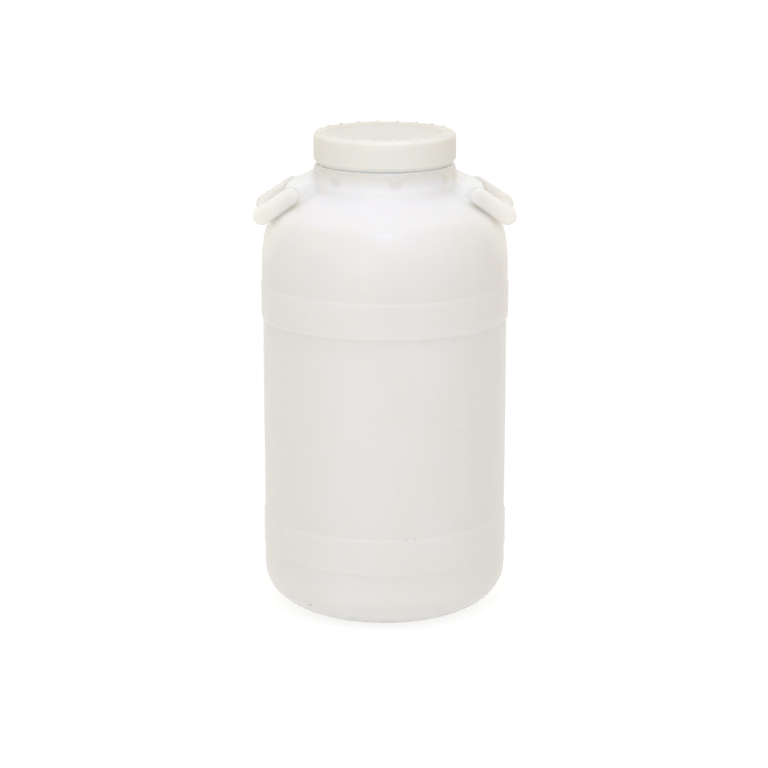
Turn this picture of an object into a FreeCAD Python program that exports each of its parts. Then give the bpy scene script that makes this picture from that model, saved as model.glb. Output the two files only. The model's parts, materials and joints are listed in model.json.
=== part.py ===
import FreeCAD, Part
import math
import os

# Wide-mouth plastic drum with a screw cap and two swinging carrying handles.
# All sizes are in millimetres. The drum stands on z = 0 with its axis on Z, the handles
# lie on the X axis and the front faces -Y. Radii are measured from the drum's axis.

# Base: a flat standing ring round a shallow push-up, under a broad rounded corner
wall_radius = 170.0
base_corner_width = 75.0
base_corner_height = 56.0
standing_ring_width = 16.0
push_up_depth = 8.0
push_up_blend = 18.0

# Wall: two raised hoops, with the wall slightly wider above the upper one
lower_hoop_height = 87.0
lower_hoop_width = 50.0
lower_hoop_raise = 1.3
upper_hoop_height = 416.0
upper_hoop_width = 49.0
upper_hoop_raise = 2.5
upper_wall_raise = 1.2
hoop_edge = 3.0

# Shoulder: a full dome from the wall to the foot of the collar
shoulder_start = 479.0
shoulder_rise = 111.0
shoulder_side_pull = 90.0
shoulder_top_pull = 55.0
shoulder_top_slope = 25.0

# Collar: as wide as the cap at its top, with small ribs under its edge
collar_taper = 2.5
collar_rise = 37.0
collar_foot_blend = 8.0
collar_edge_round = 5.0
collar_rib_width = 14.0
collar_rib_length = 14.0
collar_rib_raise = 2.4
collar_rib_angles = (8.4, 59.0, 136.5)

# Mouth and screw cap
cap_radius = 98.0
cap_wall = 6.2
cap_fit_clearance = 0.3
cap_lift = 1.5
cap_height = 44.8
cap_top_round = 7.0
cap_foot_width = 0.4
cap_foot_bevel_height = 8.5
cap_plate = 6.0
cap_rim_width = 9.0
cap_recess_depth = 2.2
cap_recess_blend = 4.0
cap_rib_count = 20
cap_rib_start_angle = 11.5
cap_rib_width = 3.6
cap_rib_raise = 2.0
cap_rib_run = 13.0
cap_rib_slope = 2.5

# Handle lugs: each flares from the collar to a wide round barrel with a stub at either end
lug_reach = 33.0
lug_half_width = 38.5
lug_root_half_width = 14.0
lug_root_height = 19.5
lug_root_depth = 4.0
lug_root_radius = 10.5
lug_shoulder_width = 5.0
pivot_rise = 1.0
barrel_radius = 9.0
stub_radius = 5.0
stub_length = 12.0

# Swinging handles, measured from the pivot along the arms
grip_distance = 47.5
grip_radius = 9.5
grip_end_radius = 12.5
eye_radius = 11.5
eye_end_wall = 4.5
stub_end_gap = 1.0
stub_clearance = 0.05
eye_side_gap = 0.5
arm_round = 4.0

# Rest pose: the arms stop this far above the shoulder, at this steepest slope in degrees
rest_gap = 0.4
steepest_drop = 80.0
arm_stations = 25
drop_halvings = 40

# Heights and radii that follow from the sizes above
neck_foot = shoulder_start + shoulder_rise
collar_top = neck_foot + collar_rise
cap_bottom = collar_top + cap_lift
cap_top = cap_bottom + cap_height
mouth_radius = cap_radius - cap_wall - cap_fit_clearance
mouth_top = cap_top - cap_plate
collar_top_radius = cap_radius
collar_foot_radius = collar_top_radius - collar_taper
shoulder_radius = wall_radius + upper_wall_raise
pivot_x = collar_foot_radius + lug_reach
pivot_z = neck_foot + pivot_rise
eye_inner = lug_half_width + eye_side_gap
eye_outer = lug_half_width + stub_length + stub_end_gap + eye_end_wall

Z_AXIS = FreeCAD.Vector(0, 0, 1)
Y_AXIS = FreeCAD.Vector(0, 1, 0)
ORIGIN = FreeCAD.Vector(0, 0, 0)


def point(radius, height):
    """Point of the XZ plane."""
    return FreeCAD.Vector(radius, 0, height)


def line(start, end):
    return Part.LineSegment(start, end).toShape()


def bezier(*poles):
    curve = Part.BezierCurve()
    curve.setPoles(list(poles))
    return curve


def on_circle(centre, radius, angle):
    """Point on a circle of the XZ plane, its angle in degrees from +X towards +Z."""
    turn = math.radians(angle)
    return centre + point(radius * math.cos(turn), radius * math.sin(turn))


def arc(centre, radius, start_angle, end_angle):
    """Circular arc of the XZ plane between two angles in degrees."""
    middle_angle = (start_angle + end_angle) / 2
    ends = [on_circle(centre, radius, a) for a in (start_angle, middle_angle, end_angle)]
    return Part.Arc(*ends).toShape()


def chain(points):
    """Straight edges through the points in turn."""
    return [line(start, end) for start, end in zip(points, points[1:])]


def turned(edges):
    """Solid of revolution about Z from an outline whose two ends lie on the axis."""
    start = edges[0].Vertexes[0].Point
    end = edges[-1].Vertexes[-1].Point
    face = Part.Face(Part.Wire(edges + [line(end, start)]))
    return face.revolve(ORIGIN, Z_AXIS, 360)


def shoulder_curve():
    """Dome outline from the top of the wall to the blend at the collar's foot."""
    slope = math.radians(shoulder_top_slope)
    foot = point(collar_foot_radius + collar_foot_blend * (1 - math.sin(slope)), neck_foot)
    start = point(shoulder_radius, shoulder_start)
    side_pole = start + point(0, shoulder_side_pull)
    top_pole = foot + point(math.cos(slope), -math.sin(slope)) * shoulder_top_pull
    return bezier(start, side_pole, top_pole, foot)


def hoop_points(height, width, raise_below, raise_hoop, raise_above):
    """Four corners of a raised hoop with sloping edges."""
    half_edge = hoop_edge / 2
    return [
        point(wall_radius + raise_below, height - half_edge),
        point(wall_radius + raise_hoop, height + half_edge),
        point(wall_radius + raise_hoop, height + width - half_edge),
        point(wall_radius + raise_above, height + width + half_edge),
    ]


def base_edges():
    """Push-up, standing ring and rounded corner, from the axis to the wall."""
    ring_outer = wall_radius - base_corner_width
    ring_inner = ring_outer - standing_ring_width
    half_blend = push_up_blend / 2
    push_up_edge = point(ring_inner - push_up_blend, push_up_depth)
    ring_edge = point(ring_inner, 0)
    blend = bezier(push_up_edge, push_up_edge + point(half_blend, 0),
                   ring_edge - point(half_blend, 0), ring_edge)
    corner_centre = point(ring_outer, base_corner_height)
    ellipse = Part.Ellipse(point(wall_radius, base_corner_height), point(ring_outer, 0),
                           corner_centre)
    corner = Part.ArcOfEllipse(ellipse, 0, math.pi / 2).toShape()
    return [
        line(point(0, push_up_depth), push_up_edge),
        blend.toShape(),
        line(ring_edge, point(ring_outer, 0)),
        corner,
    ]


def wall_edges():
    """Wall with its two hoops, from the base corner to the shoulder."""
    points = [point(wall_radius, base_corner_height)]
    points += hoop_points(lower_hoop_height, lower_hoop_width, 0, lower_hoop_raise, 0)
    points += hoop_points(upper_hoop_height, upper_hoop_width, 0, upper_hoop_raise,
                          upper_wall_raise)
    points.append(point(shoulder_radius, shoulder_start))
    return chain(points)


def collar_edges():
    """Collar and plain mouth, from the foot of the shoulder blend to the axis."""
    blend_centre = point(collar_foot_radius + collar_foot_blend,
                         neck_foot + collar_foot_blend * math.cos(math.radians(shoulder_top_slope)))
    round_centre = point(collar_top_radius - collar_edge_round, collar_top - collar_edge_round)
    return [
        arc(blend_centre, collar_foot_blend, 270 - shoulder_top_slope, 180),
        line(on_circle(blend_centre, collar_foot_blend, 180),
             on_circle(round_centre, collar_edge_round, 0)),
        arc(round_centre, collar_edge_round, 0, 90),
        *chain([on_circle(round_centre, collar_edge_round, 90), point(mouth_radius, collar_top),
                point(mouth_radius, mouth_top), point(0, mouth_top)]),
    ]


def collar_rib(angle):
    """Wedge under the collar's edge, widest at its top, at an angle from the front."""
    top = collar_top - collar_edge_round
    bury = collar_rib_raise
    lean = (collar_top_radius - collar_foot_radius) * collar_rib_length / collar_rise
    half_width = collar_rib_width / 2
    inner = collar_top_radius - bury
    outer = collar_top_radius + collar_rib_raise
    upper = [(-half_width, inner), (half_width, inner), (half_width / 2, outer),
             (-half_width / 2, outer)]
    corners = [FreeCAD.Vector(x, -y, top) for x, y in upper]
    upper_face = Part.makePolygon(corners + corners[:1])
    tip = Part.Vertex(0, -(collar_top_radius - lean - bury / 2), top - collar_rib_length)
    wedge = Part.makeLoft([upper_face, tip], True, True)
    wedge.rotate(ORIGIN, Z_AXIS, angle)
    return wedge


def tangent_link(start, start_radius, end, end_radius, half_width):
    """Prism along Y whose side view wraps two circles of the XZ plane."""
    step = end - start
    heading = math.degrees(math.atan2(step.z, step.x))
    lean = math.degrees(math.acos((start_radius - end_radius) / step.Length))
    upper, lower = heading + lean, heading - lean
    outline = [
        arc(end, end_radius, lower, upper),
        line(on_circle(end, end_radius, upper), on_circle(start, start_radius, upper)),
        arc(start, start_radius, upper, lower + 360),
        line(on_circle(start, start_radius, lower), on_circle(end, end_radius, lower)),
    ]
    face = Part.Face(Part.Wire(outline))
    face.translate(Y_AXIS * -half_width)
    return face.extrude(Y_AXIS * 2 * half_width)


def y_cylinder(centre, radius, start_y, end_y):
    base = FreeCAD.Vector(centre.x, start_y, centre.z)
    return Part.makeCylinder(radius, end_y - start_y, base, Y_AXIS)


def plan_prism(outline, bottom, top):
    """Upright prism between two heights, from the (x, y) corners of its plan."""
    corners = [FreeCAD.Vector(x, y, bottom) for x, y in outline]
    face = Part.Face(Part.makePolygon(corners + corners[:1]))
    return face.extrude(Z_AXIS * (top - bottom))


def right_lug():
    """Lug on the +X side, from the collar to its barrel, with a stub at either end."""
    pivot = point(pivot_x, pivot_z)
    root = point(collar_foot_radius - lug_root_depth, neck_foot + lug_root_height)
    link = tangent_link(root, lug_root_radius, pivot, barrel_radius, lug_half_width)
    inside = root.x - lug_root_radius
    flare_end = pivot_x - lug_shoulder_width
    beyond = pivot_x + lug_root_radius
    half_plan = [(inside, lug_root_half_width), (collar_foot_radius, lug_root_half_width),
                 (flare_end, lug_half_width), (beyond, lug_half_width)]
    mirrored_half = [(x, -y) for x, y in reversed(half_plan)]
    plan = plan_prism(half_plan + mirrored_half, pivot_z - barrel_radius, collar_top)
    reach = lug_half_width + stub_length
    return link.common(plan).fuse(y_cylinder(pivot, stub_radius, -reach, reach))


def drum_body():
    body = turned(base_edges() + wall_edges() + [shoulder_curve().toShape()] + collar_edges())
    ribs = [collar_rib(angle + half_turn) for angle in collar_rib_angles for half_turn in (0, 180)]
    lug = right_lug()
    opposite_lug = lug.mirror(ORIGIN, FreeCAD.Vector(1, 0, 0))
    return body.fuse(ribs + [lug, opposite_lug]).removeSplitter()


def cap_rib(index):
    """Short radial rib across the cap's rim."""
    outer = cap_radius - cap_top_round / 2
    inner = outer - cap_rib_run
    top = cap_top + cap_rib_raise
    bottom = cap_top - cap_recess_depth
    corners = [point(inner, bottom), point(inner + cap_rib_slope, top),
               point(outer - cap_rib_slope, top), point(outer, bottom)]
    rib = Part.Face(Part.Wire(chain(corners + corners[:1]))).extrude(Y_AXIS * cap_rib_width)
    rib.translate(Y_AXIS * (-cap_rib_width / 2))
    rib.rotate(ORIGIN, Z_AXIS, 90 - cap_rib_start_angle + index * 360 / cap_rib_count)
    return rib


def screw_cap():
    recess_outer = cap_radius - cap_top_round - cap_rim_width
    top_centre = point(cap_radius - cap_top_round, cap_top - cap_top_round)
    bevel_top = point(cap_radius, cap_bottom + cap_foot_bevel_height)
    bore = cap_radius - cap_wall
    outline = [
        *chain([point(0, cap_top - cap_recess_depth),
                point(recess_outer - cap_recess_blend, cap_top - cap_recess_depth),
                point(recess_outer, cap_top), point(cap_radius - cap_top_round, cap_top)]),
        arc(top_centre, cap_top_round, 90, 0),
        *chain([on_circle(top_centre, cap_top_round, 0), bevel_top,
                point(bore + cap_foot_width, cap_bottom), point(bore, cap_bottom),
                point(bore, mouth_top), point(0, mouth_top)]),
    ]
    ribs = [cap_rib(index) for index in range(cap_rib_count)]
    return turned(outline).fuse(ribs).removeSplitter()


def level_arm(side):
    """One arm of a handle lying level with its pivot on the Y axis, its long edges rounded."""
    half_width = (eye_outer - eye_inner) / 2
    centre_y = side * (eye_outer + eye_inner) / 2
    grip = point(grip_distance, 0)
    arm = tangent_link(ORIGIN, eye_radius, grip, grip_end_radius, half_width)
    arm = arm.makeFillet(arm_round, [e for e in arm.Edges if e.BoundBox.YLength < half_width])
    arm.translate(Y_AXIS * centre_y)
    return arm


def level_handle():
    grip_reach = eye_inner + arm_round
    handle = y_cylinder(point(grip_distance, 0), grip_radius, -grip_reach, grip_reach)
    handle = handle.fuse([level_arm(side) for side in (1, -1)]).removeSplitter()
    bore_end = lug_half_width + stub_length + stub_end_gap
    return handle.cut(y_cylinder(ORIGIN, stub_radius + stub_clearance, -bore_end, bore_end))


def shoulder_gap(curve, drop):
    """Smallest distance between the shoulder and a resting handle that slopes down by drop."""
    gaps = []
    for station in range(arm_stations + 1):
        share = station / arm_stations
        centre = on_circle(point(pivot_x, pivot_z), grip_distance * share, -drop)
        radius = eye_radius + (grip_end_radius - eye_radius) * share
        away = point(math.hypot(centre.x, eye_inner), centre.z)
        gaps.append(away.distanceToPoint(curve.value(curve.parameter(away))) - radius)
    return min(gaps)


def rest_drop(curve):
    """Angle below level at which the handle comes to rest just clear of the shoulder."""
    level, steep = 0.0, steepest_drop
    for _ in range(drop_halvings):
        middle = (level + steep) / 2
        if shoulder_gap(curve, middle) > rest_gap:
            level = middle
        else:
            steep = middle
    return level


def right_handle():
    handle = level_handle()
    handle.rotate(ORIGIN, Y_AXIS, rest_drop(shoulder_curve()))
    handle.translate(point(pivot_x, pivot_z))
    return handle


def main():
    os.makedirs("parts", exist_ok=True)
    handle_right = right_handle()
    nodes = {
        "drum_body": drum_body(),
        "screw_cap": screw_cap(),
        "handle_right": handle_right,
        "handle_left": handle_right.mirror(ORIGIN, FreeCAD.Vector(1, 0, 0)),
    }
    for name, shape in nodes.items():
        shape.exportStep(os.path.join("parts", name + ".step"))


main()
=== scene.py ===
import json
import math

import bmesh
import bpy
import numpy as np
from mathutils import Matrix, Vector, noise
from mathutils.kdtree import KDTree


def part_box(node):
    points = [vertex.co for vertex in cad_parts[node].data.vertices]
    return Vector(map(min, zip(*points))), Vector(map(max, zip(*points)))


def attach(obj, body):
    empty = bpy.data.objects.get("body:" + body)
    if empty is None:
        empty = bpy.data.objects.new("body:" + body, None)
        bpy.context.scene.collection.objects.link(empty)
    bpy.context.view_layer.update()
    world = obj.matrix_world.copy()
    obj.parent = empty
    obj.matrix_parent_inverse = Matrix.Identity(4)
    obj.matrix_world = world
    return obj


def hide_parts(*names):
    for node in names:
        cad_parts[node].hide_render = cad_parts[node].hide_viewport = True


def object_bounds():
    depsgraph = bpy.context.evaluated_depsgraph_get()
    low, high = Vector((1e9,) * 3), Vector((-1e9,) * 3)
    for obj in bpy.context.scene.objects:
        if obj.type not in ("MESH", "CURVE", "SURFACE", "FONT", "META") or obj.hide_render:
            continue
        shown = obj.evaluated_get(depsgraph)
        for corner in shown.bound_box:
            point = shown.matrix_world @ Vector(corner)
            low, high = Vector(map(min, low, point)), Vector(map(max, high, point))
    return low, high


# A tall wide-mouth drum of natural polyethylene: a blow-moulded body with a handle lug on
# each side, a screw cap and two swinging handles. Sizes here are in millimetres and become
# metres where a mesh is made, and angles are in degrees from the front. The pieces take their
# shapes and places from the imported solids.
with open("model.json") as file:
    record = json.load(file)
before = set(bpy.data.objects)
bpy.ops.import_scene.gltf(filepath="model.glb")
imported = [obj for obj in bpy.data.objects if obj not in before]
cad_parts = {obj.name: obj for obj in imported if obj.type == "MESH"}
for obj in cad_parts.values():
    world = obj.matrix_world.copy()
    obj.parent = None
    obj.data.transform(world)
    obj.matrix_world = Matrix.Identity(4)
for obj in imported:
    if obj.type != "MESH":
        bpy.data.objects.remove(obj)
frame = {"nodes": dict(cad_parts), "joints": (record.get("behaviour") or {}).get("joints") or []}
cad_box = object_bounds()

MM = 0.001
MERGE_DISTANCE = MM / 1000

# Where each handle swings, by side and in metres, and the height at which the collar grows
# from the shoulder
PIVOTS = {1 if joint["pos_m"][0] > 0 else -1: Vector(joint["pos_m"]) for joint in frame["joints"]}
COLLAR_FOOT = PIVOTS[1].z / MM

# Turned pieces: points round them and along them, and the length over which the corners of an
# outline are eased. The easing reaches EASE_REACH such lengths each way.
BODY_SEGMENTS = 200
CAP_SEGMENTS = 216
BODY_EASE = 1.1
CAP_EASE = 0.5
EASE_REACH = 4
OUTLINE_FINE_STEP = 0.25
OUTLINE_BEND_PER_POINT = 4.0
BODY_LONGEST_STEP = 6.0
CAP_LONGEST_STEP = 4.0

# The blow-moulded wall is never quite true: shallow waves, longer upwards than round, that die
# out towards the foot and the collar. Points near the axis stay where they are.
WALL_WAVE = 0.9
WALL_WAVE_LENGTH = 95.0
WALL_WAVE_UPRIGHT = 0.8
WAVE_FADE = 40.0
AXIS_REACH = 1.0

# The fine raised line where the mould's halves met: points across it, as shares of its width,
# and how far to either side no other points stand, as a share of the outermost one
SEAM_RAISE = 0.3
SEAM_WIDTH = 1.6
SEAM_POINTS = (-0.9, -0.6, -0.3, 0, 0.3, 0.6, 0.9)
SEAM_CLEAR = 1.5

# Patches that blend the lugs and collar ribs into the turned body: the size of their faces, how
# often they are smoothed, the fillet in their creases and where they are cut from the solid
LUG_GRAIN = 1.1
LUG_SMOOTHING = 11
LUG_FILLET = 5.0
LUG_PATCH_INNER = 84.0
LUG_PATCH_HALF_WIDTH = 44.0
LUG_PATCH_BELOW = 45.0
LUG_PATCH_ABOVE = 36.0
RIB_GRAIN = 0.63
RIB_SMOOTHING = 13
RIB_ANGLES = (8.4, 59.0, 136.5)
RIB_PATCH_HALF_ANGLE = 6.5
RIB_PATCH_INNER = 90.0
RIB_PATCH_BELOW = 22.0

# What stands more than PATCH_PROUD out of the turned body stays, and the rest of a patch leans
# in under it. PATCH_MARGIN is how much more of the outline is looked at, up and down.
PATCH_PROUD = 0.6
PATCH_LEAN = 0.05
PATCH_MARGIN = 10.0

# The narrow groove under the cap's skirt: its height, how far down the collar's edge is drawn
# up to fill it, and by how much
CAP_CLEARANCE = 1.5
GROOVE_REACH = 5.0
GROOVE_FILL = 2.8

# Handles: moulded in one piece with soft edges
HANDLE_GRAIN = 0.85
HANDLE_SMOOTHING = 7
HANDLE_FILLET = 6.5

# Ribs across the cap's rim. Their ends lean in by a share of their height.
CAP_RIB_COUNT = 20
CAP_RIB_START = 11.5
CAP_RIB_LENGTH = 15.4
CAP_RIB_WIDTH = 3.6
CAP_RIB_HEIGHT = 7.0
CAP_RIB_END_SLOPE = 0.6
CAP_RIB_OUTER_GAP = 2.3
CAP_RIB_BEVEL = 1.1
CAP_RIB_BEVEL_STEPS = 3
CAP_RIB_BEVEL_PROFILE = 0.5

# A finish says its base, cloud and streak tints, how long its streaks are along X, Y and Z, how
# rough it is below and above the shoulder, the weight of its glossy skin, how deep light soaks
# in and how fine its grain is. Lengths are millimetres.

# Natural polyethylene, blow moulded: wax-white and milky, so light soaks deep into the wall and
# fills its hollows. Faint streaks run along it, the way the hot tube was drawn, and the shoulder
# and neck shine more than the wall.
BODY_FINISH = {
    "tints": ("#E3E1E2", "#E2E0DF", "#E4E3E3"),
    "streak_lengths": (14, 14, 260),
    "roughness": (0.58, 0.42),
    "skin": 0.65,
    "spread": 50,
    "grain": 1.2,
}
# Ivory polyethylene, injection moulded: denser and warmer than the body, so light hardly gets
# in and it looks nearly solid, with an even colour and a dull satin skin.
CAP_FINISH = {
    "tints": ("#E8E5E0", "#E7E4DE", "#E9E7E2"),
    "streak_lengths": (30, 30, 12),
    "roughness": (0.46, 0.46),
    "skin": 0.1,
    "spread": 9,
    "grain": 1.0,
}
# Milky polyethylene, injection moulded: the same natural stuff in a thick bar, so it glows a
# little against the body, with a smooth satin skin.
HANDLE_FINISH = {
    "tints": ("#E4E1DC", "#E3DFDA", "#E7E4E1"),
    "streak_lengths": (26, 26, 26),
    "roughness": (0.4, 0.4),
    "skin": 0.15,
    "spread": 45,
    "grain": 1.0,
}

# What all three have: soft clouds and streaks of tint, scuffs that change the gloss, shallow
# ripples from cooling and a fine moulded grain. The real grain is a tenth of a millimetre or so
# and would not show, so it is drawn about a millimetre coarse. Red light soaks in furthest.
POLYETHYLENE_IOR = 1.53
SKIN_ROUGHNESS = 0.26
SOAK_SHARES = (1.0, 0.9, 0.76)
PATTERN_DETAIL = 2.0
SCUFF_DETAIL = 3.0
CLOUD_LENGTHS = (70, 70, 110)
CLOUD_SPAN = (0.35, 0.65)
STREAK_SPAN = (0.4, 0.7)
STREAK_STRENGTH = 0.3
SCUFF_LENGTHS = (18, 18, 26)
SCUFF_SPAN = (0.3, 0.7)
SCUFF_CHANGE = (-0.04, 0.05)
RIPPLE_LENGTHS = (9, 9, 12)
RIPPLE_STRENGTH = 0.12
RIPPLE_DEPTH = 0.4
GRAIN_STRENGTH = 0.1
GRAIN_DEPTH = 0.1

# How the body's colour changes upwards, all of it painted light and shade: painted light at the
# shaded foot, a painted bluish highlight on the shoulder, painted shade on the collar under the
# cap and painted light on the collar's edge in the shaded groove. Each fade runs from its first
# height to its second.
# Painted light that lifts the foot, which faces down into shade
FOOT_PAINTED_LIGHT = "#F4F2F2"
FOOT_PAINTED_LIGHT_FADE = (34.0, 4.0)
# Painted bluish highlight on the shoulder, for the cool light from above. The same heights set where
# the shoulder turns glossier.
SHOULDER_PAINTED_HIGHLIGHT = "#F5F4FA"
SHOULDER_FADE = (556.0, 594.0)
# Painted shade on the collar under the cap's overhang
COLLAR_PAINTED_SHADE = "#E2DED6"
COLLAR_SHADE_FADE = (604.0, 623.0)
# Painted light on the collar's top edge, where the groove under the cap lies in shade
GROOVE_PAINTED_LIGHT = "#FFFAF0"
GROOVE_LIGHT_FADE = (627.6, 629.0)

# Round spots on the body, painted light over the lugs for the glow of light through them, and
# painted shadows under the collar ribs: how far out and up they are, and the radii between which
# they fade
LUG_PAINTED_LIGHT = "#FAF8F3"
LUG_LIGHT_PLACE = (144.0, 566.0)
LUG_LIGHT_FADE = (46.0, 96.0)
LUG_LIGHT_STRENGTH = 0.9
# Painted shadows under the collar ribs
RIB_PAINTED_SHADOW = "#CFCBC0"
RIB_SHADOW_PLACE = (98.0, 615.0)
RIB_SHADOW_FADE = (2.0, 12.0)
RIB_SHADOW_STRENGTH = 0.4

# The cap's top, by distance from its middle, painted warmer against the cool light that falls on
# it, and painted light on the foot of its skirt, by height, over the shaded groove
CAP_TOP_PAINTED_WARMTH = "#EAE4D9"
CAP_TOP_WARMTH_FADE = (84.0, 92.0)
# Painted light on the foot of the cap's skirt, over the shaded groove
CAP_FOOT_PAINTED_LIGHT = "#FFFBF2"
CAP_FOOT_LIGHT_FADE = (634.0, 629.5)

# Specks of dirt: place, radius and strength
SPECK_COLOUR = "#6E6A62"
SPECKS = (
    ((-102.8, -124.3, 30.5), 2.4, 0.8),
    ((28.3, -167.1, 138.2), 2.0, 0.16),
    ((41.9, -164.1, 138.7), 2.0, 0.2),
)

# Camera: far in front, looking a little down at the drum. The shift is a share of the width.
CAMERA_DISTANCE = 3500.0
CAMERA_HEIGHT = 1185.9
CAMERA_PITCH = 13.97
CAMERA_LENS = 120.23
CAMERA_SENSOR = 36.0
CAMERA_SHIFT = -0.0010417

WHITE = (1, 1, 1, 1)

# Floor: plain white for the light it sends back, shaded and glowing white where it is seen
FLOOR_REACH = 30000.0
FLOOR_COLOUR = "#FCFCFC"
FLOOR_SHADE = 0.24
FLOOR_GLOW = 0.82

# Sky: brightest high up and in front, a little warmer towards the sides
SKY_AT_HORIZON = 0.54
SKY_AT_PEAK = 0.555
SKY_PEAK_ELEVATION = 52.0
SKY_AT_ZENITH = 0.60
SKY_SCALE = 2.03
SKY_FRONT_LEAN = 0.2
SKY_SIDE_COLOUR = "#C4BCA2"

# Lamps over the front of the shoulder: name, elevation, distance in metres, size in metres,
# power in watts and colour. They aim at a share of the drum's depth and of its height.
SHOULDER_LAMPS = (
    ("overhead", 63.0, 1.9, 1.2, 0.75, "#A8C4FF"),
    ("highlight", 54.0, 1.7, 0.2, 4.5, "#BCD0FF"),
)
SHOULDER_AIM = (0.9, 0.83)

# A large weak lamp low in front: place and size in metres, and the share of the height it faces
FRONT_FILL_PLACE = (-1.2, -3.0, 0.6)
FRONT_FILL_AIM = 0.6
FRONT_FILL_SIZE = 1.1
FRONT_FILL_POWER = 5.9


def linear(hex_colour):
    """Linear RGBA of an sRGB hex colour."""
    channels = [int(hex_colour[i:i + 2], 16) / 255 for i in (1, 3, 5)]
    return [c / 12.92 if c <= 0.04045 else ((c + 0.055) / 1.055) ** 2.4 for c in channels] + [1.0]


def add_node(tree, kind, inputs=None, **settings):
    """Adds a node. Inputs are values or other nodes' output sockets, by socket name or number."""
    node = tree.nodes.new(kind)
    for name, value in settings.items():
        setattr(node, name, value)
    for socket, value in (inputs or {}).items():
        if isinstance(value, bpy.types.NodeSocket):
            tree.links.new(value, node.inputs[socket])
        else:
            node.inputs[socket].default_value = value
    return node


def new_object(name, mesh):
    """An object in the scene from a mesh, a lamp or a camera."""
    piece = bpy.data.objects.new(name, mesh)
    bpy.context.scene.collection.objects.link(piece)
    return piece


def smooth_shaded(mesh):
    """The same mesh, shaded smooth."""
    mesh.polygons.foreach_set("use_smooth", [True] * len(mesh.polygons))
    mesh.update()
    return mesh


def cut_outline(node):
    """(radius, height) in mm where the plane x = 0 cuts the front of a turned node."""
    shape = bmesh.new()
    shape.from_mesh(frame["nodes"][node].data)
    bmesh.ops.remove_doubles(shape, verts=shape.verts, dist=MERGE_DISTANCE)
    for normal, clear_inner in (((0, 1, 0), False), ((1, 0, 0), True)):
        everything = shape.verts[:] + shape.edges[:] + shape.faces[:]
        bmesh.ops.bisect_plane(shape, geom=everything, plane_co=(0, 0, 0), plane_no=normal,
                               clear_outer=True, clear_inner=clear_inner)
    bmesh.ops.remove_doubles(shape, verts=shape.verts, dist=MERGE_DISTANCE)
    ends = sorted((v for v in shape.verts if len(v.link_edges) == 1), key=lambda v: v.co.z)
    path = [ends[0]]
    while path[-1] is not ends[-1]:
        others = [edge.other_vert(path[-1]) for edge in path[-1].link_edges]
        path.append(next(v for v in others if len(path) < 2 or v is not path[-2]))
    outline = np.array([(-v.co.y / MM, v.co.z / MM) for v in path])
    shape.free()
    return outline


def resampled(outline, lengths):
    """Points of the outline at these distances along it."""
    steps = np.linalg.norm(np.diff(outline, axis=0), axis=1)
    along = np.concatenate([[0], np.cumsum(steps)])
    return np.column_stack([np.interp(lengths, along, outline[:, i]) for i in (0, 1)])


def eased_outline(outline, ease, longest_step):
    """The outline with its corners eased, and points placed closer where it bends."""
    total = np.linalg.norm(np.diff(outline, axis=0), axis=1).sum()
    count = int(total / OUTLINE_FINE_STEP)
    fine = resampled(outline, np.linspace(0, total, count + 1))
    reach = int(EASE_REACH * ease / OUTLINE_FINE_STEP)
    weights = np.exp(-0.5 * (np.arange(-reach, reach + 1) * OUTLINE_FINE_STEP / ease) ** 2)
    weights /= weights.sum()
    before = 2 * fine[0] - fine[reach:0:-1]
    after = 2 * fine[-1] - fine[-2:-reach - 2:-1]
    padded = np.vstack([before, fine, after])
    eased = np.column_stack([np.convolve(padded[:, i], weights, "valid") for i in (0, 1)])
    steps = np.diff(eased, axis=0)
    bend = np.abs(np.diff(np.unwrap(np.arctan2(steps[:, 1], steps[:, 0]))))
    bend = np.degrees(np.concatenate([[0], bend, [0]]))[:-1]
    share = np.cumsum(bend / OUTLINE_BEND_PER_POINT + OUTLINE_FINE_STEP / longest_step)
    share = np.concatenate([[0], share])
    places = np.interp(np.linspace(0, share[-1], int(share[-1]) + 1), share, np.arange(len(share)))
    kept = np.column_stack([np.interp(places, np.arange(len(eased)), eased[:, i]) for i in (0, 1)])
    kept[0, 0] = kept[-1, 0] = 0
    return kept


def body_offset(x, y, z):
    """How far the body's wall stands out from its true turned shape, in mm."""
    mask = min(1, max(0, z / WAVE_FADE)) * min(1, max(0, (COLLAR_FOOT - z) / WAVE_FADE))
    wave = noise.noise(Vector((x, y, z * WALL_WAVE_UPRIGHT)) / WALL_WAVE_LENGTH)
    seam = math.exp(-(2 * y / SEAM_WIDTH) ** 2) if z < COLLAR_FOOT - WAVE_FADE else 0
    return mask * (WALL_WAVE * (wave - 1) / 2 + SEAM_RAISE * seam)


def displaced(x, y, z):
    """A point of the body moved outwards by the wall's own unevenness."""
    radius = math.hypot(x, y)
    if radius < AXIS_REACH:
        return Vector((x, y, z))
    factor = 1 + body_offset(x, y, z) / radius
    return Vector((x * factor, y * factor, z))


def turned_mesh(name, outline, angles, move=lambda x, y, z: Vector((x, y, z))):
    """Closed mesh turned about Z from an outline that starts and ends on the axis."""
    vertices = [move(0, 0, outline[0][1])]
    for radius, height in outline[1:-1]:
        vertices += [move(radius * math.cos(a), radius * math.sin(a), height) for a in angles]
    vertices.append(move(0, 0, outline[-1][1]))
    count, rings = len(angles), len(outline) - 2
    faces = []
    for i in range(count):
        j = (i + 1) % count
        faces.append((0, 1 + j, 1 + i))
        for ring in range(rings - 1):
            low, high = 1 + ring * count, 1 + (ring + 1) * count
            faces.append((low + i, low + j, high + j, high + i))
        last = 1 + (rings - 1) * count
        faces.append((last + i, last + j, len(vertices) - 1))
    mesh = bpy.data.meshes.new(name)
    mesh.from_pydata([v * MM for v in vertices], [], faces)
    return smooth_shaded(mesh)


def even_angles(count):
    """Angles spread evenly over a full turn."""
    return [2 * math.pi * i / count for i in range(count)]


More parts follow.
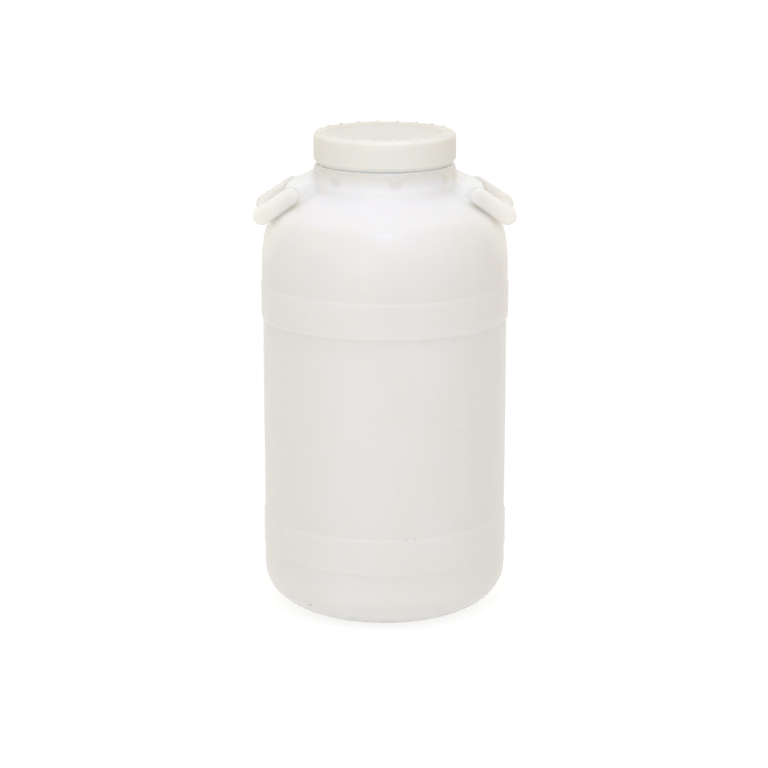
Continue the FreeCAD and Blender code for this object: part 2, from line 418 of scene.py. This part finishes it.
def body_angles(radius):
    """Even angles, with more of them across the mould's seam at either side."""
    turn = 2 * math.pi
    seams = (0, math.pi)
    fine = [SEAM_WIDTH * share / radius for share in SEAM_POINTS]
    clear = fine[-1] * SEAM_CLEAR
    coarse = [a for a in even_angles(BODY_SEGMENTS)
              if min(abs(math.remainder(a - seam, turn)) for seam in seams) > clear]
    return sorted([(seam + offset) % turn for seam in seams for offset in fine] + coarse)


def evaluated_mesh(piece):
    """Plain mesh of a piece as its modifiers leave it."""
    bpy.context.view_layer.update()
    graph = bpy.context.evaluated_depsgraph_get()
    return bpy.data.meshes.new_from_object(piece.evaluated_get(graph))


def remoulded(name, source, grain, smoothing, fillet=0):
    """Mesh of a closed solid, remade of even small faces, its edges soft and its creases filled."""
    piece = new_object(name + "_work", source)
    for swell in (fillet, -fillet) if fillet else (0,):
        remesh = piece.modifiers.new("grain", "REMESH")
        remesh.mode = "VOXEL"
        remesh.voxel_size = grain * MM
        displace = piece.modifiers.new("swell", "DISPLACE")
        displace.strength = swell * MM
        displace.mid_level = 0
    smooth = piece.modifiers.new("soften", "SMOOTH")
    smooth.iterations = smoothing
    mesh = evaluated_mesh(piece)
    mesh.name = name
    bpy.data.objects.remove(piece)
    bpy.data.meshes.remove(source)
    return smooth_shaded(mesh)


def merged_copy(node, planes=()):
    """Closed copy of a CAD node's mesh, with what lies outside the planes cut off."""
    shape = bmesh.new()
    shape.from_mesh(frame["nodes"][node].data)
    bmesh.ops.remove_doubles(shape, verts=shape.verts, dist=MERGE_DISTANCE)
    for place, normal in planes:
        everything = shape.verts[:] + shape.edges[:] + shape.faces[:]
        cut = bmesh.ops.bisect_plane(shape, geom=everything, plane_co=Vector(place) * MM,
                                     plane_no=normal, clear_outer=True)
        edges = [e for e in cut["geom_cut"] if isinstance(e, bmesh.types.BMEdge)]
        bmesh.ops.triangle_fill(shape, use_beauty=True, edges=edges)
    bmesh.ops.recalc_face_normals(shape, faces=shape.faces)
    mesh = bpy.data.meshes.new(node + "_copy")
    shape.to_mesh(mesh)
    shape.free()
    return mesh


def gap_outside(outline, radius, height):
    """Distance of each point outside the outline, and the outward direction there."""
    points = np.column_stack([radius, height])
    start, step = outline[:-1], np.diff(outline, axis=0)
    length2 = (step ** 2).sum(1)
    best = np.full(len(points), np.inf)
    signed = np.zeros(len(points))
    outward = np.zeros((len(points), 2))
    for a, d, l2 in zip(start, step, length2):
        share = np.clip(((points - a) @ d) / l2, 0, 1)[:, None]
        gap = points - (a + share * d)
        size = np.linalg.norm(gap, axis=1)
        normal = np.array([d[1], -d[0]]) / math.sqrt(l2)
        closer = size < best
        best[closer] = size[closer]
        signed[closer] = (size * np.sign(gap @ normal))[closer]
        outward[closer] = normal
    return signed, outward


def leaned_in(mesh, outline):
    """Sinks a patch gently under the turned body, away from what stands proud of it."""
    co = np.zeros(len(mesh.vertices) * 3)
    mesh.vertices.foreach_get("co", co)
    co = co.reshape(-1, 3) / MM
    radius = np.hypot(co[:, 0], co[:, 1])
    lowest = co[:, 2].min() - PATCH_MARGIN
    highest = co[:, 2].max() + PATCH_MARGIN
    near = (outline[:, 1] > lowest) & (outline[:, 1] < highest)
    signed, outward = gap_outside(outline[near], radius, co[:, 2])
    proud = KDTree(int((signed > PATCH_PROUD).sum()))
    for index in np.flatnonzero(signed > PATCH_PROUD):
        proud.insert(co[index], int(index))
    proud.balance()
    for index in np.flatnonzero(signed <= PATCH_PROUD):
        sink = PATCH_LEAN * proud.find(co[index])[2]
        away = np.array([co[index, 0], co[index, 1]]) / radius[index]
        co[index, :2] -= away * outward[index, 0] * sink
        co[index, 2] -= outward[index, 1] * sink
    moved = [displaced(*point) * MM for point in co]
    mesh.vertices.foreach_set("co", np.array(moved).ravel())
    return smooth_shaded(mesh)


def drum_shell(outline):
    """The body alone, turned from its outline, without lugs or ribs."""
    return turned_mesh("drum_turned", outline, body_angles(outline[:, 0].max()), displaced)


def lug_patch(side, outline):
    """One handle lug with the part of the collar and shoulder that it grows from."""
    pivot = PIVOTS[side] / MM
    along = Vector((side, 0, 0))
    planes = [
        (along * LUG_PATCH_INNER, -along),
        ((0, LUG_PATCH_HALF_WIDTH, 0), (0, 1, 0)),
        ((0, -LUG_PATCH_HALF_WIDTH, 0), (0, -1, 0)),
        ((0, 0, pivot.z - LUG_PATCH_BELOW), (0, 0, -1)),
        ((0, 0, pivot.z + LUG_PATCH_ABOVE), (0, 0, 1)),
    ]
    cut = merged_copy("drum_body", planes)
    return leaned_in(remoulded("lug", cut, LUG_GRAIN, LUG_SMOOTHING, LUG_FILLET), outline)


def heading(degrees):
    """Level direction at an angle from the front."""
    return Vector((math.sin(math.radians(degrees)), -math.cos(math.radians(degrees)), 0))


def rib_patch(angle, outline, top):
    """One small rib under the collar's edge, at an angle from the front, below the collar's top."""
    planes = [
        (heading(angle) * RIB_PATCH_INNER, -heading(angle)),
        ((0, 0, 0), heading(angle + RIB_PATCH_HALF_ANGLE + 90)),
        ((0, 0, 0), heading(angle - RIB_PATCH_HALF_ANGLE - 90)),
        ((0, 0, top - RIB_PATCH_BELOW), (0, 0, -1)),
    ]
    cut = merged_copy("drum_body", planes)
    return leaned_in(remoulded("rib", cut, RIB_GRAIN, RIB_SMOOTHING), outline)


def united(name, base, additions):
    """One closed piece from a base mesh and the closed meshes that overlap it."""
    piece = new_object(name, base)
    tools = [new_object(name + "_addition", mesh) for mesh in additions]
    for tool in tools:
        union = piece.modifiers.new("union", "BOOLEAN")
        union.operation = "UNION"
        union.solver = "MANIFOLD"
        union.object = tool
    mesh = evaluated_mesh(piece)
    mesh.name = name
    piece.modifiers.clear()
    piece.data = smooth_shaded(mesh)
    bpy.data.meshes.remove(base)
    for tool in tools:
        bpy.data.meshes.remove(tool.data)
    return piece


def cap_shell():
    """The cap alone, turned from its outline, without its ribs."""
    outline = eased_outline(cut_outline("screw_cap"), CAP_EASE, CAP_LONGEST_STEP)
    return turned_mesh("cap_turned", outline, even_angles(CAP_SEGMENTS))


def without_groove(outline, edge_top):
    """The outline with the collar's top edge drawn up, so that the cap's skirt sits down on it."""
    lifted = outline.copy()
    rise = outline[:, 1] - edge_top
    near_edge = (rise > -GROOVE_REACH) & (rise < CAP_CLEARANCE / 2)
    share = (rise[near_edge] + GROOVE_REACH) / GROOVE_REACH
    lifted[near_edge, 1] += GROOVE_FILL * share
    return lifted


def rib_block():
    """One rib of the cap's rim, along X, with its edges rounded."""
    shape = bmesh.new()
    bmesh.ops.create_cube(shape, size=1)
    half_run = CAP_RIB_LENGTH / 2
    for vertex in shape.verts:
        taper = CAP_RIB_HEIGHT * CAP_RIB_END_SLOPE if vertex.co.z > 0 else 0
        vertex.co.x = math.copysign(half_run - taper, vertex.co.x) * MM
        vertex.co.y = math.copysign(CAP_RIB_WIDTH / 2, vertex.co.y) * MM
        vertex.co.z = math.copysign(CAP_RIB_HEIGHT / 2, vertex.co.z) * MM
    bmesh.ops.bevel(shape, geom=shape.edges[:], offset=CAP_RIB_BEVEL * MM,
                    segments=CAP_RIB_BEVEL_STEPS, profile=CAP_RIB_BEVEL_PROFILE, affect="EDGES")
    mesh = bpy.data.meshes.new("rib_block")
    shape.to_mesh(mesh)
    shape.free()
    return new_object("rib_block", mesh)


def ring_tree():
    """Geometry nodes that set copies of an object round a ring, turned to face its centre."""
    tree = bpy.data.node_groups.new("ring_of_ribs", "GeometryNodeTree")
    sockets = {}
    for name, kind in (("Rib", "NodeSocketObject"), ("Count", "NodeSocketInt"),
                       ("Radius", "NodeSocketFloat"), ("Height", "NodeSocketFloat"),
                       ("Start", "NodeSocketFloat"), ("Material", "NodeSocketMaterial")):
        sockets[name] = tree.interface.new_socket(name, in_out="INPUT", socket_type=kind).identifier
    tree.interface.new_socket("Geometry", in_out="OUTPUT", socket_type="NodeSocketGeometry")
    given = add_node(tree, "NodeGroupInput").outputs
    circle = add_node(tree, "GeometryNodeMeshCircle",
                      {"Vertices": given["Count"], "Radius": given["Radius"]})
    index = add_node(tree, "GeometryNodeInputIndex")
    turn = add_node(tree, "ShaderNodeMath", {0: 2 * math.pi, 1: given["Count"]}, operation="DIVIDE")
    angle = add_node(tree, "ShaderNodeMath",
                     {0: index.outputs[0], 1: turn.outputs[0]}, operation="MULTIPLY")
    rotation = add_node(tree, "ShaderNodeCombineXYZ", {"Z": angle.outputs[0]})
    rib = add_node(tree, "GeometryNodeObjectInfo", {"Object": given["Rib"]})
    copies = add_node(tree, "GeometryNodeInstanceOnPoints",
                      {"Points": circle.outputs[0], "Instance": rib.outputs["Geometry"],
                       "Rotation": rotation.outputs[0]})
    lift = add_node(tree, "ShaderNodeCombineXYZ", {"Z": given["Height"]})
    start = add_node(tree, "ShaderNodeCombineXYZ", {"Z": given["Start"]})
    placed = add_node(tree, "GeometryNodeTransform",
                      {"Geometry": copies.outputs[0], "Translation": lift.outputs[0],
                       "Rotation": start.outputs[0]})
    real = add_node(tree, "GeometryNodeRealizeInstances", {"Geometry": placed.outputs[0]})
    painted = add_node(tree, "GeometryNodeSetMaterial",
                       {"Geometry": real.outputs[0], "Material": given["Material"]})
    add_node(tree, "NodeGroupOutput", {0: painted.outputs[0]})
    return tree, sockets


def cap_ribs(material):
    """Mesh of the ring of ribs across the cap's rim."""
    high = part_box("screw_cap")[1]
    tree, sockets = ring_tree()
    block = rib_block()
    piece = new_object("cap_ribs", bpy.data.meshes.new("cap_ribs_seed"))
    modifier = piece.modifiers.new("ring", "NODES")
    modifier.node_group = tree
    outer = high.x - CAP_RIB_OUTER_GAP * MM
    values = {
        "Rib": block,
        "Count": CAP_RIB_COUNT,
        "Radius": outer - CAP_RIB_LENGTH * MM / 2,
        "Height": high.z - CAP_RIB_HEIGHT * MM / 2,
        "Start": math.radians(90 - CAP_RIB_START),
        "Material": material,
    }
    for name, value in values.items():
        modifier[sockets[name]] = value
    mesh = evaluated_mesh(piece)
    bpy.data.objects.remove(piece)
    bpy.data.objects.remove(block)
    return mesh


def handle(name, node):
    """One swinging handle, moulded in one piece with soft edges."""
    mesh = remoulded(name, merged_copy(node), HANDLE_GRAIN, HANDLE_SMOOTHING, HANDLE_FILLET)
    return new_object(name, mesh)


def object_coordinates(tree, lengths):
    """Object coordinates in units of the given lengths in mm."""
    place = add_node(tree, "ShaderNodeTexCoord").outputs["Object"]
    return add_node(tree, "ShaderNodeMapping",
                    {"Vector": place, "Scale": [1 / (length * MM) for length in lengths]}).outputs[0]


def blotches(tree, lengths, detail=PATTERN_DETAIL):
    """A value that drifts between 0 and 1 in blotches of these lengths in mm."""
    return add_node(tree, "ShaderNodeTexNoise",
                    {"Vector": object_coordinates(tree, lengths), "Scale": 1.0,
                     "Detail": detail}).outputs["Fac"]


def height_above_floor(tree):
    """Height above the floor in mm."""
    place = object_coordinates(tree, (1, 1, 1))
    return add_node(tree, "ShaderNodeSeparateXYZ", {0: place}).outputs["Z"]


def blended(tree, colour, tint, value, start, end, strengths=(0, 1)):
    """The colour blended into another as a value goes from its start to its end."""
    share = add_node(tree, "ShaderNodeMapRange",
                     {"Value": value, "From Min": start, "From Max": end,
                      "To Min": strengths[0], "To Max": strengths[1]})
    return add_node(tree, "ShaderNodeMix",
                    {"Factor": share.outputs["Result"], 6: colour, 7: linear(tint)},
                    data_type="RGBA").outputs[2]


def faded(tree, colour, tint, heights):
    """The colour blended into another between two heights."""
    return blended(tree, colour, tint, height_above_floor(tree), *heights)


def spotted(tree, colour, tint, place, radii, strength=1):
    """The colour with a round spot of another, fading out between two radii."""
    gap = add_node(tree, "ShaderNodeVectorMath",
                   {0: object_coordinates(tree, (1, 1, 1)), 1: place}, operation="DISTANCE")
    return blended(tree, colour, tint, gap.outputs["Value"], *radii, (strength, 0))


def drum_colour(tree, colour):
    """Painted light at the foot, over the lugs and on the collar's edge, a painted highlight on the
    shoulder, painted shade on the collar and painted shadows under its ribs, and specks of dirt.
    """
    colour = faded(tree, colour, FOOT_PAINTED_LIGHT, FOOT_PAINTED_LIGHT_FADE)
    colour = faded(tree, colour, SHOULDER_PAINTED_HIGHLIGHT, SHOULDER_FADE)
    # Painted light over the lugs
    for side in (1, -1):
        place = (side * LUG_LIGHT_PLACE[0], 0, LUG_LIGHT_PLACE[1])
        colour = spotted(tree, colour, LUG_PAINTED_LIGHT, place, LUG_LIGHT_FADE, LUG_LIGHT_STRENGTH)
    colour = faded(tree, colour, COLLAR_PAINTED_SHADE, COLLAR_SHADE_FADE)
    colour = faded(tree, colour, GROOVE_PAINTED_LIGHT, GROOVE_LIGHT_FADE)
    # Painted shadows under the collar ribs
    for angle in RIB_ANGLES:
        for side in (1, -1):
            place = heading(angle) * side * RIB_SHADOW_PLACE[0] + Vector((0, 0, RIB_SHADOW_PLACE[1]))
            colour = spotted(tree, colour, RIB_PAINTED_SHADOW, place, RIB_SHADOW_FADE, RIB_SHADOW_STRENGTH)
    for place, radius, strength in SPECKS:
        colour = spotted(tree, colour, SPECK_COLOUR, place, (radius / 2, radius), strength)
    return colour


def cap_colour(tree, colour):
    """Painted warmth on the top against the cool light there, painted light on the skirt's foot."""
    middle = (0, 0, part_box("screw_cap")[1].z / MM)
    colour = spotted(tree, colour, CAP_TOP_PAINTED_WARMTH, middle, CAP_TOP_WARMTH_FADE)
    return faded(tree, colour, CAP_FOOT_PAINTED_LIGHT, CAP_FOOT_LIGHT_FADE)


def plastic(name, finish, *colour_changes):
    """Milky polyethylene: close tints, soft gloss, light soaking in, faint moulded grain."""
    material = bpy.data.materials.new(name)
    material.use_nodes = True
    tree = material.node_tree
    shader = tree.nodes["Principled BSDF"]

    base, cloud, streak = finish["tints"]
    streaks = blotches(tree, finish["streak_lengths"], SCUFF_DETAIL)
    colour = blended(tree, linear(base), cloud, blotches(tree, CLOUD_LENGTHS), *CLOUD_SPAN)
    colour = blended(tree, colour, streak, streaks, *STREAK_SPAN, (0, STREAK_STRENGTH))
    for change in colour_changes:
        colour = change(tree, colour)
    tree.links.new(colour, shader.inputs["Base Color"])

    scuffs = add_node(tree, "ShaderNodeMapRange",
                      {"Value": blotches(tree, SCUFF_LENGTHS, SCUFF_DETAIL),
                       "From Min": SCUFF_SPAN[0], "From Max": SCUFF_SPAN[1],
                       "To Min": SCUFF_CHANGE[0], "To Max": SCUFF_CHANGE[1]})
    polish = add_node(tree, "ShaderNodeMapRange",
                      {"Value": height_above_floor(tree),
                       "From Min": SHOULDER_FADE[0], "From Max": SHOULDER_FADE[1],
                       "To Min": finish["roughness"][0], "To Max": finish["roughness"][1]})
    rough = add_node(tree, "ShaderNodeMath", {0: scuffs.outputs[0], 1: polish.outputs[0]},
                     operation="ADD")
    tree.links.new(rough.outputs[0], shader.inputs["Roughness"])

    ripples = add_node(tree, "ShaderNodeBump",
                       {"Height": blotches(tree, RIPPLE_LENGTHS), "Strength": RIPPLE_STRENGTH,
                        "Distance": RIPPLE_DEPTH * MM})
    grain = add_node(tree, "ShaderNodeBump",
                     {"Height": blotches(tree, [finish["grain"]] * 3), "Strength": GRAIN_STRENGTH,
                      "Distance": GRAIN_DEPTH * MM, "Normal": ripples.outputs[0]})
    tree.links.new(grain.outputs[0], shader.inputs["Normal"])

    shader.inputs["IOR"].default_value = POLYETHYLENE_IOR
    shader.inputs["Coat Weight"].default_value = finish["skin"]
    shader.inputs["Coat Roughness"].default_value = SKIN_ROUGHNESS
    shader.inputs["Subsurface Weight"].default_value = 1.0
    shader.inputs["Subsurface Radius"].default_value = SOAK_SHARES
    shader.inputs["Subsurface Scale"].default_value = finish["spread"] * MM
    return material


def dress(piece, body, slot_name, material, *nodes):
    """Gives a piece its material, the body it rides on and the nodes it stands for. The slot name is
    not used.
    """
    piece.data.materials.clear()
    piece.data.materials.append(material)
    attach(piece, body)
    if nodes:
        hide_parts(*nodes)


def seen_ray(tree):
    """1 for rays that show the background: camera, glossy and transmission."""
    path = add_node(tree, "ShaderNodeLightPath").outputs
    first = add_node(tree, "ShaderNodeMath",
                     {0: path["Is Camera Ray"], 1: path["Is Glossy Ray"]}, operation="MAXIMUM")
    return add_node(tree, "ShaderNodeMath",
                    {0: first.outputs[0], 1: path["Is Transmission Ray"]},
                    operation="MAXIMUM").outputs[0]


def white_floor():
    """Wide floor that shows white, yet keeps the drum's shadow."""
    shape = bmesh.new()
    bmesh.ops.create_grid(shape, x_segments=1, y_segments=1, size=FLOOR_REACH * MM)
    mesh = bpy.data.meshes.new("floor")
    shape.to_mesh(mesh)
    shape.free()
    floor = new_object("floor", mesh)
    material = bpy.data.materials.new("white_sweep")
    material.use_nodes = True
    tree = material.node_tree
    tree.nodes.clear()
    plain = add_node(tree, "ShaderNodeBsdfDiffuse", {"Color": linear(FLOOR_COLOUR)})
    shaded = add_node(tree, "ShaderNodeBsdfDiffuse", {"Color": [FLOOR_SHADE] * 3 + [1]})
    glow = add_node(tree, "ShaderNodeEmission", {"Color": WHITE, "Strength": FLOOR_GLOW})
    both = add_node(tree, "ShaderNodeAddShader", {0: shaded.outputs[0], 1: glow.outputs[0]})
    mix = add_node(tree, "ShaderNodeMixShader",
                   {0: seen_ray(tree), 1: plain.outputs[0], 2: both.outputs[0]})
    add_node(tree, "ShaderNodeOutputMaterial", {"Surface": mix.outputs[0]})
    mesh.materials.append(material)


def white_world():
    """Soft sky that lights the drum, and plain white wherever the background is seen."""
    world = bpy.data.worlds.new("white_room")
    bpy.context.scene.world = world
    world.use_nodes = True
    tree = world.node_tree
    tree.nodes.clear()
    direction = add_node(tree, "ShaderNodeTexCoord").outputs["Generated"]
    parts = add_node(tree, "ShaderNodeSeparateXYZ", {0: direction}).outputs
    curve = add_node(tree, "ShaderNodeFloatCurve", {"Value": parts["Z"]})
    points = curve.mapping.curves[0].points
    points[0].location = (0, SKY_AT_HORIZON)
    points[1].location = (1, SKY_AT_ZENITH)
    points.new(math.sin(math.radians(SKY_PEAK_ELEVATION)), SKY_AT_PEAK)
    curve.mapping.update()
    lean = add_node(tree, "ShaderNodeMapRange",
                    {"Value": parts["Y"], "From Min": -1, "From Max": 1,
                     "To Min": SKY_SCALE * (1 + SKY_FRONT_LEAN),
                     "To Max": SKY_SCALE * (1 - SKY_FRONT_LEAN)})
    strength = add_node(tree, "ShaderNodeMath", {0: curve.outputs[0], 1: lean.outputs[0]},
                        operation="MULTIPLY")
    sideways = add_node(tree, "ShaderNodeMath", {0: parts["X"]}, operation="ABSOLUTE")
    colour = blended(tree, WHITE, SKY_SIDE_COLOUR, sideways.outputs[0], 0, 1)
    lit = add_node(tree, "ShaderNodeBackground", {"Color": colour, "Strength": strength.outputs[0]})
    shown = add_node(tree, "ShaderNodeBackground", {"Color": WHITE})
    sky = add_node(tree, "ShaderNodeMixShader",
                   {0: seen_ray(tree), 1: lit.outputs[0], 2: shown.outputs[0]})
    add_node(tree, "ShaderNodeOutputWorld", {"Surface": sky.outputs[0]})


def soft_lamp(name, place, target, size, power, colour="#FFFFFF"):
    """A round lamp at a place, aimed at a target."""
    data = bpy.data.lights.new(name, "AREA")
    data.shape = "DISK"
    data.size = size
    data.energy = power
    data.color = linear(colour)[:3]
    lamp = new_object(name, data)
    lamp.location = place
    lamp.rotation_euler = (Vector(target) - Vector(place)).to_track_quat("-Z", "Y").to_euler()


def camera():
    """The camera, level from side to side and pitched a little down."""
    data = bpy.data.cameras.new("camera")
    data.sensor_width = CAMERA_SENSOR
    data.lens = CAMERA_LENS
    data.shift_x = CAMERA_SHIFT
    eye = new_object("camera", data)
    eye.location = (0, -CAMERA_DISTANCE * MM, CAMERA_HEIGHT * MM)
    eye.rotation_euler = (math.radians(90 - CAMERA_PITCH), 0, 0)
    bpy.context.scene.camera = eye


def light_scene():
    """The lamps, placed from the size of the whole drum."""
    low, high = cad_box
    shoulder = Vector((0, low.y * SHOULDER_AIM[0], high.z * SHOULDER_AIM[1]))
    for name, elevation, distance, size, power, colour in SHOULDER_LAMPS:
        up = math.radians(elevation)
        toward = Vector((0, -math.cos(up), math.sin(up)))
        soft_lamp(name, shoulder + toward * distance, shoulder, size, power, colour)
    middle = (0, 0, high.z * FRONT_FILL_AIM)
    soft_lamp("front_fill", FRONT_FILL_PLACE, middle, FRONT_FILL_SIZE, FRONT_FILL_POWER)


bpy.context.scene.view_settings.view_transform = "Standard"
camera()
white_floor()
white_world()
light_scene()

collar_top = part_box("screw_cap")[0].z / MM - CAP_CLEARANCE
body_outline = eased_outline(without_groove(cut_outline("drum_body"), collar_top),
                             BODY_EASE, BODY_LONGEST_STEP)

body_plastic = plastic("blow_moulded_natural_polyethylene", BODY_FINISH, drum_colour)
cap_plastic = plastic("injection_moulded_ivory_polyethylene", CAP_FINISH, cap_colour)
handle_plastic = plastic("injection_moulded_milky_polyethylene", HANDLE_FINISH)

additions = [lug_patch(side, body_outline) for side in (1, -1)]
additions += [rib_patch(angle + half_turn, body_outline, collar_top)
              for angle in RIB_ANGLES for half_turn in (0, 180)]
drum = united("drum_mould", drum_shell(body_outline), additions)
dress(drum, "drum", "body_plastic", body_plastic, "drum_body")
cap = united("cap_mould", cap_shell(), [cap_ribs(cap_plastic)])
dress(cap, "drum", "cap_plastic", cap_plastic, "screw_cap")
for side in ("left", "right"):
    node = "handle_" + side
    dress(handle("handle_grip_" + side, node), node, "handle_plastic", handle_plastic, node)
